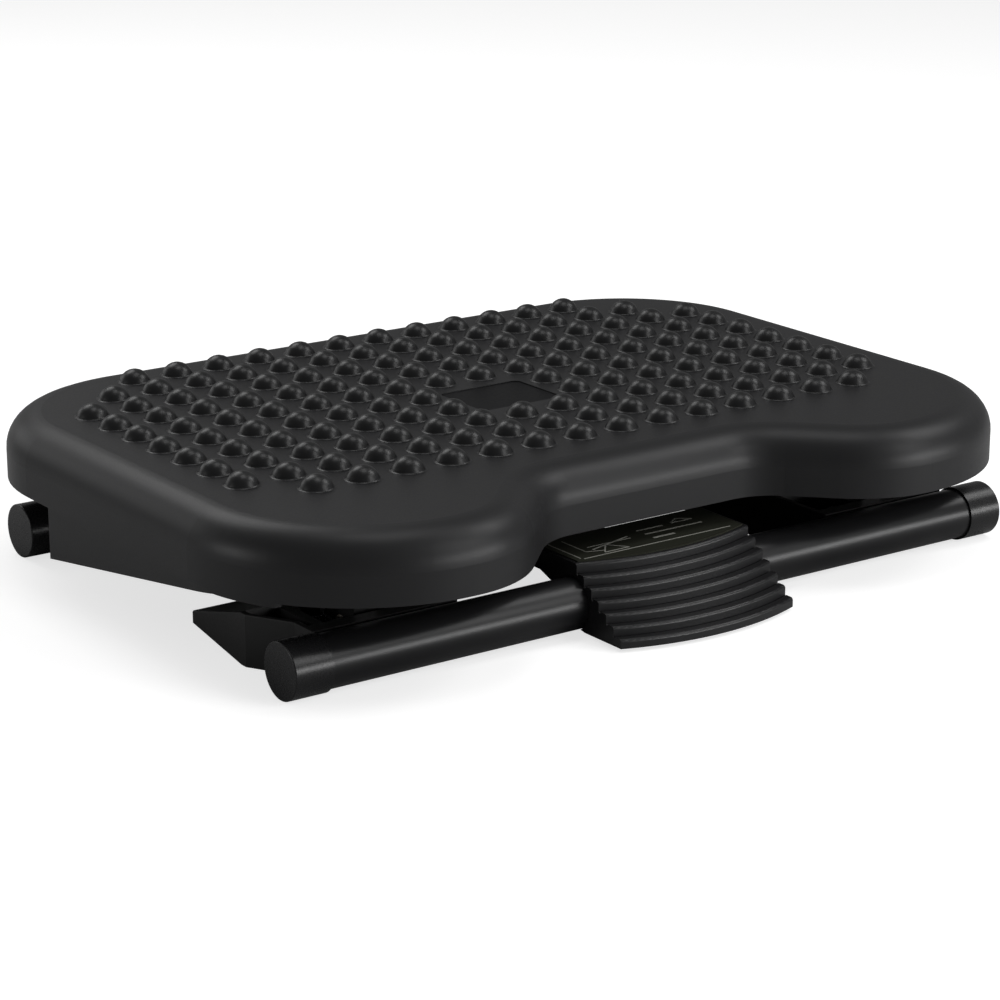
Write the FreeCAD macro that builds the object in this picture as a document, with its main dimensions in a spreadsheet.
import FreeCAD, Part
import math
import os
import re
import Sketcher
from FreeCAD import Placement, Rotation, Vector

# Tilting under desk footrest, in millimetres.
# X runs across the footrest, +Y points away from the user, +Z is up.
# The origin is on the floor, under the middle of the whole footrest.
# Two floor tubes, two moulded base arms and a steel lock bracket make the base.
# The platform tilts on two hinge pins that sit inside the trays of the base arms.
# The pedal turns on the front tube and works a brake lever that grips a steel
# sector under the platform.

doc = FreeCAD.newDocument("footrest")

# Driving dimensions
dimensions = [
    ("half_width", 228.8, "platform, middle to side"),
    ("rear_y", 171.6, "platform rear edge"),
    ("lobe_y", -165.6, "front edge of the two front lobes"),
    ("notch_y", -119.1, "front edge in the notch over the pedal"),
    ("rear_corner_share", 0.3846, "rear corner radius, as a share of the half width"),
    ("front_corner_share", 0.4021, "front outer corner radius, as a share of the half width"),
    ("notch_share", 0.27535, "half width of the notch at its back, as a share of the half width"),
    ("lobe_r", 60.0, "radius where a lobe turns into the notch"),
    ("notch_r", 34.0, "radius at the back of the notch"),
    ("edge_r", 18.0, "rounding of the top edge"),
    ("skin", 3.0, "wall of the platform shell"),
    ("skirt_z", 45.5, "lower edge of the skirt"),
    ("top_z", 78.0, "flat top"),
    ("dome_centre_y", 30.9, "middle of the dome field"),
    ("dome_r", 9.2, "dome radius with its flare"),
    ("dome_cap_r", 8.33, "radius of the dome's cap"),
    ("dome_rim", 0.05, "thickness of the flare at its rim"),
    ("dome_height", 6.6, "dome height"),
    ("badge_width", 49.0, "badge recess across"),
    ("badge_length", 40.0, "badge recess front to back"),
    ("badge_corner_r", 4.0, "badge recess corner"),
    ("badge_sink", 1.7, "depth of the badge recess"),
    ("badge_thickness", 1.2, "badge plate"),
    ("badge_gap", 0.3, "gap round the badge plate"),
    ("frame_gap", 0.5, "inner frame to the start of the edge rounding"),
    ("frame_z", 55.0, "lower face of the inner frame"),
    ("frame_wall", 3.0, "inner frame walls and ribs"),
    ("boss_r", 5.0, "screw boss"),
    ("boss_length", 12.0, "screw boss below the skin"),
    ("boss_fit", 0.2, "boss to its post"),
    ("post_r", 9.0, "post that takes a boss"),
    ("pad_height", 8.0, "thick pads of the inner frame"),
    ("screw_r", 1.75, "screw shank"),
    ("screw_hole_r", 2.0, "clearance hole"),
    ("head_r", 3.5, "screw head"),
    ("head_height", 2.5, "screw head"),
    ("counterbore", 3.0, "counterbore for a screw head"),
    ("cheek_gap", 0.3, "side cheek to the skirt"),
    ("cheek_wall", 3.0, "side cheek"),
    ("cheek_low_z", 17.4, "lowest corner of the cheek"),
    ("cheek_front_drop", 3.3, "cheek's front end below the skirt"),
    ("cheek_front_lead", 28.5, "cheek's front end ahead of the tilt axis"),
    ("cheek_knee", 4.0, "where the cheek's lower edge turns level, behind the tilt axis"),
    ("cheek_top_z", 58.0, "upper edge of the cheek"),
    ("cheek_return", 15.0, "inward return at the cheek's rear end"),
    ("tab_length", 16.0, "fixing tab, front to back"),
    ("tab_reach", 24.0, "fixing tab, inwards"),
    ("tube_r", 12.7, "floor tubes"),
    ("tube_wall", 1.6, "floor tube wall"),
    ("cap_wall", 1.05, "cap sleeve"),
    ("cap_end", 2.5, "cap end wall"),
    ("cap_length", 20.0, "cap"),
    ("cap_plug", 12.0, "plug inside the tube"),
    ("rail_width", 28.0, "rail to the rear tube"),
    ("arm_low_z", 0.0, "base arm's lower face"),
    ("arm_top_z", 25.5, "base arm's upper edge"),
    ("ear_top_z", 13.75, "top of the ear's rear end"),
    ("ear_under_z", 7.75, "underside of the ear's rear end"),
    ("arm_wall", 2.5, "base arm walls"),
    ("arm_edge_r", 0.8, "rounding of the base arm's upper edges"),
    ("ear_hollow_z", 11.2, "hollow under the ear"),
    ("saddle_open", 8.0, "saddle's open face from the tube's centre"),
    ("saddle_back", 16.0, "back of the saddle wall from the tube's centre"),
    ("hinge_pin_r", 4.0, "hinge pin"),
    ("hinge_play", 0.05, "pin to bush"),
    ("bush_wall", 1.5, "hinge bush"),
    ("hinge_wall", 5.0, "hinge walls of the tray"),
    ("lug_width", 12.0, "hinge arm"),
    ("lug_r", 9.0, "eye of the hinge arm"),
    ("flange_width", 32.0, "hinge arm's flange across"),
    ("flange_height", 5.0, "flanges under the inner frame"),
    ("flange_edge", 4.3, "flange screw to the flange's edge"),
    ("clip_r", 6.5, "spring clip"),
    ("clip_thickness", 1.0, "spring clip"),
    ("clip_gap", 0.4, "clip to its wall"),
    ("pin_end", 1.2, "pin past its clip"),
    ("lift_wire_r", 1.0, "lift spring wire"),
    ("lift_coil_r", 6.4, "lift spring, middle of the wire"),
    ("lift_pitch", 2.6, "lift spring, turn to turn"),
    ("lift_seat_gap", 0.3, "spring legs to their seats"),
    ("bracket_half", 11.5, "lock bracket, half width"),
    ("bracket_wall", 2.5, "lock bracket plate"),
    ("bracket_low_z", 0.9, "lock bracket's lower face"),
    ("bracket_front_z", 20.0, "bracket height at the front"),
    ("bracket_mid_z", 40.0, "bracket height at the brake"),
    ("bracket_rear_z", 22.0, "bracket height at the rear"),
    ("lever_z", 11.0, "brake lever pivot"),
    ("small_pin_r", 2.5, "lever pin and anvil pin"),
    ("pin_play", 0.05, "lever pin to the lever"),
    ("lever_gap", 4.0, "middle to the lever's plates"),
    ("lever_plate", 3.0, "lever plate"),
    ("sector_half", 2.0, "half thickness of the sector"),
    ("rim_in_r", 62.0, "sector's inner rim"),
    ("rim_out_r", 74.0, "sector's outer rim"),
    ("sector_low_angle", -8.0, "lower end of the sector"),
    ("brake_angle", 14.0, "where the brake grips"),
    ("lever_travel", 4.0, "degrees the brake lever turns when the pedal comes up"),
    ("lock_gap", 0.3, "shoe to the rim when the pedal is up"),
    ("anvil_gap", 0.3, "anvil to the rim"),
    ("anvil_depth", 9.0, "anvil block"),
    ("anvil_half", 3.4, "half width of the anvil"),
    ("anvil_height", 14.0, "anvil block"),
    ("shoe_half", 3.9, "half width of the brake shoe"),
    ("shoe_height", 16.0, "brake shoe"),
    ("carrier_top_z", 42.0, "top of the shoe carrier"),
    ("sector_flange_half", 14.0, "sector flange, half width"),
    ("spring_wire_r", 0.6, "lock spring wire"),
    ("spring_coil_r", 4.0, "lock spring, middle of the wire"),
    ("spring_turns", 6.0, "lock spring turns"),
    ("spring_seat_gap", 0.3, "lock spring to its seats"),
    ("spring_z", 33.0, "lock spring axis"),
    ("pedal_half", 52.0, "pedal, half width"),
    ("pedal_bow", 10.0, "how far the pedal's front bows out"),
    ("pedal_low_z", 1.7, "pedal's lower edge"),
    ("ridge_rise", 4.586, "height of one pedal ridge"),
    ("ridge_run", 5.73, "set back of one pedal ridge"),
    ("ridge_band", 8.3, "depth of one ridge band"),
    ("ridge_nose_r", 1.5, "rounding of a ridge's upper edge"),
    ("deck_thickness", 2.5, "pedal's deck"),
    ("side_wall", 2.5, "pedal's side walls"),
    ("side_bore_gap", 0.4, "side wall to the tube"),
    ("shell_gap", 0.5, "pedal shell to the tube"),
    ("hub_inset", 20.0, "pedal's side to the inner face of its hub"),
    ("hub_width", 8.0, "pedal hub"),
    ("liner_r", 14.2, "outside of the pedal bush"),
    ("tube_play", 0.05, "tube to pedal bush"),
    ("hook_low_z", 6.0, "lower end of the hook behind the tube"),
    ("hook_wall", 3.0, "hook behind the tube"),
    ("label_thickness", 0.6, "label plate"),
    ("link_z", 25.75, "link pin"),
    ("link_pin_r", 2.0, "link pin"),
    ("link_half", 3.0, "half thickness of the link arm"),
    ("link_eye_r", 5.0, "eye of the link arm"),
    ("link_plate_half", 8.0, "link arm's plate, half width"),
    ("link_plate", 2.0, "link arm's plate"),
    ("slot_play", 0.45, "link pin to its slot"),
    ("slot_run", 5.2, "slot past the link pin, towards the lever pin"),
    ("slot_back", 2.7, "slot past the link pin, the other way"),
    ("bumper_r", 7.0, "rest bumper"),
    ("bumper_post_r", 8.0, "post above a rest bumper"),
    ("bumper_height", 4.2, "rest bumper"),
    ("bumper_gap", 0.3, "rest bumper to the rail"),
    ("dome_side_gap", 41.3, "outermost dome column to the platform's side"),
    ("dome_rear_gap", 32.7, "rear dome row to the platform's rear edge"),
    ("boss_side_gap", 63.8, "outer screw bosses to the platform's side"),
    ("boss_notch_gap", 3.0, "inner screw bosses inside the notch's root"),
    ("boss_rear_gap", 56.6, "rear screw bosses to the rear edge"),
    ("boss_front_gap", 79.1, "front screw bosses behind the notch"),
    ("tab_side_gap", 25.8, "tab screws to the platform's side"),
    ("rear_tab_gap", 27.9, "rear tab ahead of the cheek's end"),
    ("cheek_rear_gap", 103.7, "cheek's rear end to the platform's rear edge"),
    ("tube_side_gap", 19.0, "end of a tube to the platform's side"),
    ("rear_tube_gap", 44.3, "rear tube to the platform's rear edge"),
    ("front_tube_lead", 4.9, "front tube ahead of the notch"),
    ("ear_side_gap", 26.3, "base arm's ear to the platform's side"),
    ("waist_side_gap", 38.8, "base arm's waist to the platform's side"),
    ("arm_width", 78.0, "base arm behind the front tube"),
    ("hinge_back", 32.0, "tilt axis behind the front tube"),
    ("hinge_rise", 1.25, "tilt axis above the tubes"),
    ("ear_length", 43.9, "sloping part of the ear"),
    ("ear_lead", 18.0, "start of the slope behind the tilt axis"),
    ("ear_flat", 4.0, "flat part of the ear's side"),
    ("waist_lead", 8.0, "waist ahead of the tilt axis"),
    ("hinge_side_gap", 12.0, "outer hinge wall to the waist"),
    ("lug_play", 3.0, "hinge arm to the inner hinge wall"),
    ("flange_lead", 20.0, "hinge flange ahead of the tilt axis"),
    ("flange_length", 52.0, "hinge flange"),
    ("spring_side_gap", 1.6, "lift spring to the outer hinge wall"),
    ("lever_gap_behind", 4.0, "lever pivot behind the sector's rim"),
    ("pedal_reach", 37.6, "pedal's lowest ridge ahead of the front tube, at the side"),
    ("deck_reach", 34.0, "pedal's deck behind the front tube"),
    ("label_margin", 2.0, "label plate to the pedal's edges"),
    ("link_plate_reach", 20.0, "link arm's plate behind the front tube"),
    ("link_plate_length", 14.0, "link arm's plate"),
    ("groove_width", 0.9, "groove at the foot of a ridge"),
    ("groove_depth", 1.2, "groove at the foot of a ridge"),
    ("bumper_rear_gap", 76.6, "rest bumpers to the platform's rear edge"),
    ("carrier_back", 2.0, "front of the shoe carrier behind the lever pivot"),
    ("carrier_depth", 8.0, "shoe carrier"),
    ("spring_room", 18.0, "room for the lock spring"),
    ("bracket_fall", 12.0, "slope behind the lock spring's wall"),
    ("bracket_rise_lead", 46.0, "start of the bracket's front slope ahead of the lever pivot"),
    ("bracket_rise", 10.0, "the bracket's front slope"),
    ("sector_flange_lead", 30.0, "sector flange behind the tilt axis"),
    ("sector_flange_length", 40.0, "sector flange, front to back"),
    ("small_screw_r", 1.3, "screws of the link arm"),
    ("small_head_r", 2.3, "their heads"),
    ("small_head_height", 1.4, "their heads"),
    ("small_screw_edge", 2.6, "those screws to the plate's side"),
    ("small_screw_lead", 4.0, "those screws to the plate's front edge"),
]

# Sizes that follow from the ones above
derived = {
    "rear_corner_r": "half_width * rear_corner_share",
    "front_corner_r": "half_width * front_corner_share",
    "notch_root": "half_width * notch_share",
    "notch_flare": "notch_y - lobe_y",
    "dome_pitch_x": "(half_width - dome_side_gap) / 7.5",
    "dome_pitch_y": "(rear_y - dome_centre_y - dome_rear_gap) / 4.5",
    "boss_x_outer": "half_width - boss_side_gap",
    "boss_x_inner": "notch_root - boss_notch_gap",
    "boss_y_rear": "rear_y - boss_rear_gap",
    "boss_y_front": "notch_y + boss_front_gap",
    "tab_screw_x": "half_width - tab_side_gap",
    "axle_z": "tube_r + cap_wall",
    "front_tube_y": "notch_y - front_tube_lead",
    "rear_tube_y": "rear_y - rear_tube_gap",
    "tube_half": "half_width - tube_side_gap",
    "arm_outer_x": "half_width - ear_side_gap",
    "arm_waist_x": "half_width - waist_side_gap",
    "arm_inner_x": "arm_waist_x - arm_width",
    "hinge_y": "front_tube_y + hinge_back",
    "hinge_z": "axle_z + hinge_rise",
    "ear_slope_y": "hinge_y + ear_lead",
    "ear_rear_y": "ear_slope_y + ear_length",
    "ear_front_y": "ear_slope_y - ear_flat",
    "waist_y": "hinge_y - waist_lead",
    "cheek_in_x": "arm_inner_x + rail_width",
    "cheek_out_x": "arm_waist_x - hinge_side_gap",
    "lug_x": "cheek_in_x + hinge_wall + lug_play",
    "flange_in_x": "cheek_in_x",
    "flange_front_y": "hinge_y - flange_lead",
    "flange_rear_y": "flange_front_y + flange_length",
    "lift_coil_x": "cheek_out_x - spring_side_gap",
    "cheek_rear_y": "rear_y - cheek_rear_gap",
    "cheek_front_y": "hinge_y - cheek_front_lead",
    "cheek_front_z": "skirt_z - cheek_front_drop",
    "cheek_knee_y": "hinge_y + cheek_knee",
    "tab_y_rear": "cheek_rear_y - rear_tab_gap",
    "tab_y_front": "flange_rear_y",
    "lever_y": "hinge_y + rim_out_r + lever_gap_behind",
    "carrier_y": "lever_y + carrier_back",
    "carrier_rear_y": "carrier_y + carrier_depth",
    "seat_wall_y": "carrier_rear_y + spring_room",
    "bracket_fall_y": "seat_wall_y + bracket_fall",
    "bracket_rise_y": "lever_y - bracket_rise_lead",
    "bracket_high_y": "bracket_rise_y + bracket_rise",
    "sector_flange_front": "hinge_y + sector_flange_lead",
    "sector_flange_rear": "sector_flange_front + sector_flange_length",
    "pedal_front_y": "front_tube_y - pedal_reach",
    "deck_rear_y": "front_tube_y + deck_reach",
    "label_half": "pedal_half - label_margin",
    "hub_x": "pedal_half - hub_inset",
    "link_y": "hinge_y",
    "link_plate_rear": "front_tube_y + link_plate_reach",
    "link_plate_front": "link_plate_rear - link_plate_length",
    "bumper_x": "arm_inner_x + rail_width / 2",
    "bumper_y": "rear_y - bumper_rear_gap",
}

sheet = doc.addObject("Spreadsheet::Sheet", "Size")
for row, (name, value, note) in enumerate(dimensions, 1):
    sheet.set("A%d" % row, name)
    sheet.set("B%d" % row, str(value))
    sheet.set("C%d" % row, note)
    sheet.setAlias("B%d" % row, name)
known = {name for name, value, note in dimensions}
doc.recompute()

parts = {}


def linked(text):
    """A formula in the names of the sheet, written so that other objects can use it."""
    def full_name(word):
        if word[0] in derived:
            return "(" + linked(derived[word[0]]) + ")"
        return "Size." + word[0] if word[0] in known else word[0]
    return re.sub(r"[a-z_][a-z_0-9]*", full_name, text)


def size(text):
    """The value of a formula in the names of the sheet."""
    value = sheet.evalExpression(linked(text))
    return float(getattr(value, "Value", value))


def sided(side, text):
    """An X value for the left side, -1, or the right side, 1."""
    return text if side > 0 else "-(%s)" % text


# Sketches and features

def new_body(label):
    body = doc.addObject("PartDesign::Body", label)
    body.Label = label
    parts[label] = body
    return body


def helper_body(label):
    return doc.addObject("PartDesign::Body", label)


def sketch_on(body, role, offset, name):
    sketch = body.newObject("Sketcher::SketchObject", name)
    plane = next(item for item in body.Origin.OriginFeatures if item.Role == role)
    sketch.AttachmentSupport = (plane, [""])
    sketch.MapMode = "FlatFace"
    sketch.setExpression("AttachmentOffset.Base.z", linked(offset))
    return sketch


def pin_point(sketch, geometry, position, x, y):
    """Tie one point of a sketch to formulas for its two coordinates."""
    for kind, text, axis in (("DistanceX", x, -2), ("DistanceY", y, -1)):
        value = size(text)
        if abs(value) < 1e-9:
            sketch.addConstraint(Sketcher.Constraint("PointOnObject", geometry, position, axis))
        else:
            index = sketch.addConstraint(Sketcher.Constraint(kind, -1, 1, geometry, position, value))
            sketch.setExpression("Constraints[%d]" % index, linked(text))


def polygon(sketch, points):
    corners = [Vector(size(x), size(y), 0) for x, y in points]
    first = sketch.GeometryCount
    count = len(points)
    for i in range(count):
        sketch.addGeometry(Part.LineSegment(corners[i], corners[(i + 1) % count]), False)
    for i in range(count):
        sketch.addConstraint(Sketcher.Constraint("Coincident", first + i, 2, first + (i + 1) % count, 1))
    for i, (x, y) in enumerate(points):
        pin_point(sketch, first + i, 1, x, y)


def rectangle(sketch, x_low, x_high, y_low, y_high):
    polygon(sketch, [(x_low, y_low), (x_high, y_low), (x_high, y_high), (x_low, y_high)])


def circle(sketch, x, y, radius):
    circle_at = Part.Circle(Vector(size(x), size(y), 0), Vector(0, 0, 1), size(radius))
    index = sketch.addGeometry(circle_at, False)
    pin_point(sketch, index, 3, x, y)
    held = sketch.addConstraint(Sketcher.Constraint("Radius", index, size(radius)))
    sketch.setExpression("Constraints[%d]" % held, linked(radius))


def pad(body, sketch, length, name):
    feature = body.newObject("PartDesign::Pad", name)
    feature.Profile = sketch
    feature.setExpression("Length", linked(length))
    doc.recompute()
    return feature


def pocket(body, sketch, length, name):
    """Cut from the sketch along its own normal."""
    before = body.Shape.Volume
    feature = body.newObject("PartDesign::Pocket", name)
    feature.Profile = sketch
    feature.Reversed = True
    feature.setExpression("Length", linked(length))
    doc.recompute()
    if not feature.Shape.Volume < before - 1e-6:
        raise RuntimeError("%s in %s cuts nothing" % (name, body.Label))
    return feature


def edges_where(shape, test):
    return ["Edge%d" % (i + 1) for i, edge in enumerate(shape.Edges) if test(edge)]


def fillet(body, test, radius, name):
    base = body.Tip
    feature = body.newObject("PartDesign::Fillet", name)
    feature.Base = (base, edges_where(base.Shape, test))
    feature.setExpression("Radius", linked(radius))
    doc.recompute()
    return feature


def upright_at(x, y):
    """The upright edges over a corner of a plan that is alike on both sides."""
    at_x, at_y = abs(size(x)), size(y)

    def test(edge):
        middle = edge.CenterOfMass
        upright = edge.BoundBox.ZLength > 1e-3 and edge.BoundBox.XLength + edge.BoundBox.YLength < 1e-3
        return upright and abs(abs(middle.x) - at_x) < 1e-3 and abs(middle.y - at_y) < 1e-3
    return test


# Primitives and booleans

def cylinder(name, radius, height, base, turn=None):
    """A cylinder from its base point, three formulas, along Z, or along X or Y by its turn."""
    item = doc.addObject("Part::Cylinder", name)
    item.setExpression("Radius", linked(radius))
    item.setExpression("Height", linked(height))
    if turn == "x":
        item.Placement.Rotation = Rotation(Vector(0, 1, 0), 90)
    if turn == "y":
        item.Placement.Rotation = Rotation(Vector(1, 0, 0), -90)
    for axis, text in zip("xyz", base):
        item.setExpression("Placement.Base." + axis, linked(text))
    return item


def box(name, low, high):
    item = doc.addObject("Part::Box", name)
    for axis, side, a, b in zip("xyz", ("Length", "Width", "Height"), low, high):
        item.setExpression(side, linked("(%s) - (%s)" % (b, a)))
        item.setExpression("Placement.Base." + axis, linked(a))
    return item


def boolean(kind, name, first, others):
    if kind == "Cut":
        item = doc.addObject("Part::Cut", name)
        item.Base = first
        together = len(others) > 1
        item.Tool = boolean("MultiFuse", name + "_tools", others[0], others[1:]) if together else others[0]
    else:
        item = doc.addObject("Part::" + kind, name)
        item.Shapes = [first] + others
    doc.recompute()
    return item


def keep(label, item):
    item.Label = label
    parts[label] = item
    return item


def solid_group(label, solids):
    """Several separate solids that share one node."""
    item = doc.addObject("Part::Feature", label)
    item.Shape = Part.makeCompound(solids)
    item.Placement = Placement()
    parts[label] = item
    return item


def screw_solid(head_seat, direction, length):
    """A pan head screw whose head sits outside the seat point and whose shank runs along direction."""
    head = Part.makeCylinder(size("head_r"), size("head_height"), head_seat, -direction)
    crown = head_seat - direction * size("head_height")
    first_is_crown = head.Edges[0].BoundBox.Center.isEqual(crown, 1e-6)
    rounded = head.makeFillet(size("head_height") * 0.45, [head.Edges[0 if first_is_crown else 2]])
    shank = Part.makeCylinder(size("screw_r"), length, head_seat, direction)
    socket = Part.makeCylinder(size("screw_r") * 0.75, size("head_height") * 0.6, crown, direction)
    return rounded.fuse(shank).cut(socket).removeSplitter()


# Platform outline at a chosen distance inside the skirt's outer face

bevel = "((sqrt(notch_flare ^ 2 + (notch_y - lobe_y) ^ 2) - notch_flare) / (notch_y - lobe_y))"
lobe_room = ("(half_width - front_corner_r - notch_root - notch_flare - 0.5)"
             " / tan(atan((notch_y - lobe_y) / notch_flare) / 2)")


def outline_pad(body, inset, low, height):
    """Pad the platform's plan, drawn in by inset, and round its corners to match."""
    root = "notch_root + %s * (%s)" % (bevel, inset)
    back = "notch_y + (%s)" % inset
    front = "lobe_y + (%s)" % inset
    side = "half_width - (%s)" % inset
    rear = "rear_y - (%s)" % inset
    half = [(root, back), (root + " + notch_flare", front), (side, front), (side, rear)]
    mirrored = [("-(%s)" % x, y) for x, y in reversed(half)]
    sketch = sketch_on(body, "XY_Plane", low, "plan")
    polygon(sketch, half + mirrored)
    pad(body, sketch, height, "slab")
    fillet(body, upright_at(side, rear), "rear_corner_r - (%s)" % inset, "rear_corners")
    fillet(body, upright_at(side, front), "front_corner_r - (%s)" % inset, "front_corners")
    lobe = "min(lobe_r; %s) - (%s)" % (lobe_room, inset)
    fillet(body, upright_at(root + " + notch_flare", front), lobe, "lobes")
    fillet(body, upright_at(root, back), "notch_r + (%s)" % inset, "notch")
    return body.Tip


# Platform shell: one moulding with a rounded rim, a badge recess and screw bosses

boss_places = [("%s * boss_x_%s" % (sign, reach), "boss_y_" + end)
               for sign in ("-1", "1") for reach in ("outer", "inner") for end in ("rear", "front")]


def make_platform_top():
    body = new_body("platform_top")
    outline_pad(body, "0", "skirt_z", "top_z - skirt_z")
    top, low = size("top_z"), size("skirt_z")
    fillet(body, lambda edge: abs(edge.BoundBox.ZMin - top) < 1e-6, "edge_r", "rim")
    full = body.Tip
    shell = body.newObject("PartDesign::Thickness", "shell")
    open_faces = [i + 1 for i, face in enumerate(full.Shape.Faces) if abs(face.BoundBox.ZMax - low) < 1e-6]
    shell.Base = (full, ["Face%d" % i for i in open_faces])
    shell.Reversed = True
    shell.setExpression("Value", linked("skin"))
    doc.recompute()
    bosses = sketch_on(body, "XY_Plane", "top_z - skin - boss_length", "bosses")
    for x, y in boss_places:
        circle(bosses, x, y, "boss_r")
    pad(body, bosses, "boss_length + skin / 2", "boss_pads")
    pilots = sketch_on(body, "XY_Plane", "top_z - skin - boss_length", "pilots")
    for x, y in boss_places:
        circle(pilots, x, y, "screw_r")
    pocket(body, pilots, "boss_length - 1", "pilot_holes")
    badge = sketch_on(body, "XY_Plane", "top_z - badge_sink", "badge")
    rectangle(badge, "-badge_width / 2", "badge_width / 2", "dome_centre_y - dome_pitch_y - badge_length / 2",
              "dome_centre_y - dome_pitch_y + badge_length / 2")
    pocket(body, badge, "badge_sink", "badge_recess")
    half_x, half_y = size("badge_width / 2"), size("badge_length / 2")
    middle = size("dome_centre_y - dome_pitch_y")

    def recess_corner(edge):
        at = edge.CenterOfMass
        upright = edge.BoundBox.ZLength > 0.5 and edge.BoundBox.XLength < 1e-3
        return upright and abs(abs(at.x) - half_x) < 1e-3 and abs(abs(at.y - middle) - half_y) < 1e-3
    fillet(body, recess_corner, "badge_corner_r", "recess_corners")


def make_badge_plate():
    body = new_body("badge_plate")
    sketch = sketch_on(body, "XY_Plane", "top_z - badge_sink", "plate")
    half_x = "(badge_width / 2 - badge_gap)"
    half_y = "(badge_length / 2 - badge_gap)"
    rectangle(sketch, "-" + half_x, half_x, "dome_centre_y - dome_pitch_y - " + half_y,
              "dome_centre_y - dome_pitch_y + " + half_y)
    pad(body, sketch, "badge_thickness", "plate_pad")
    fillet(body, lambda edge: edge.BoundBox.ZLength > 0.5, "badge_corner_r - badge_gap", "corners")


# Massage domes: 16 columns and 10 rows, with short outer rows and a gap at the badge

dome_columns, dome_rows = 16, 10


def dome_cells():
    for row in range(dome_rows):
        trim = {0: 2, 1: 1, dome_rows - 1: 1}.get(row, 0)
        for column in range(trim, dome_columns - trim):
            badge_cell = column in (7, 8) and row in (5, 6)
            if not badge_cell:
                yield column - (dome_columns - 1) / 2, (dome_rows - 1) / 2 - row


def make_massage_domes():
    rim, height = size("dome_rim"), size("dome_height")
    cap, foot = size("dome_cap_r"), size("dome_r")
    centre = Vector(0, 0, height - cap)
    # A flare of this radius touches both the cap and the flat top
    lift = rim - centre.z
    flare = (foot ** 2 + lift ** 2 - cap ** 2) / (2 * (cap - lift))
    flare_centre = Vector(foot, 0, rim + flare)
    neck = centre + (flare_centre - centre).normalize() * cap
    neck_angle = math.atan2(neck.z - centre.z, neck.x)
    middle_angle = (neck_angle + math.pi / 2) / 2
    middle = centre + Vector(math.cos(middle_angle), 0, math.sin(middle_angle)) * cap
    flare_angle = (neck_angle + math.pi + 1.5 * math.pi) / 2
    flare_middle = flare_centre + Vector(math.cos(flare_angle), 0, math.sin(flare_angle)) * flare
    crown, rim_point, rim_foot = Vector(0, 0, height), Vector(foot, 0, rim), Vector(foot, 0, 0)
    profile = Part.Wire([
        Part.Arc(crown, middle, neck).toShape(),
        Part.Arc(neck, flare_middle, rim_point).toShape(),
        Part.makeLine(rim_point, rim_foot),
        Part.makeLine(rim_foot, Vector()),
        Part.makeLine(Vector(), crown)])
    dome = Part.Face(profile).revolve(Vector(), Vector(0, 0, 1), 360)
    domes = []
    for column, row in dome_cells():
        copy = dome.copy()
        copy.translate(Vector(column * size("dome_pitch_x"), size("dome_centre_y") + row * size("dome_pitch_y"),
                              size("top_z")))
        domes.append(copy)
    print("domes", len(domes))
    solid_group("massage_domes", domes)


# Inner frame: a ring and ribs under the shell, with posts for the bosses and pads for the brackets

frame_inset = "(edge_r + frame_gap)"
frame_height = "(top_z - skin - frame_z)"


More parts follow.
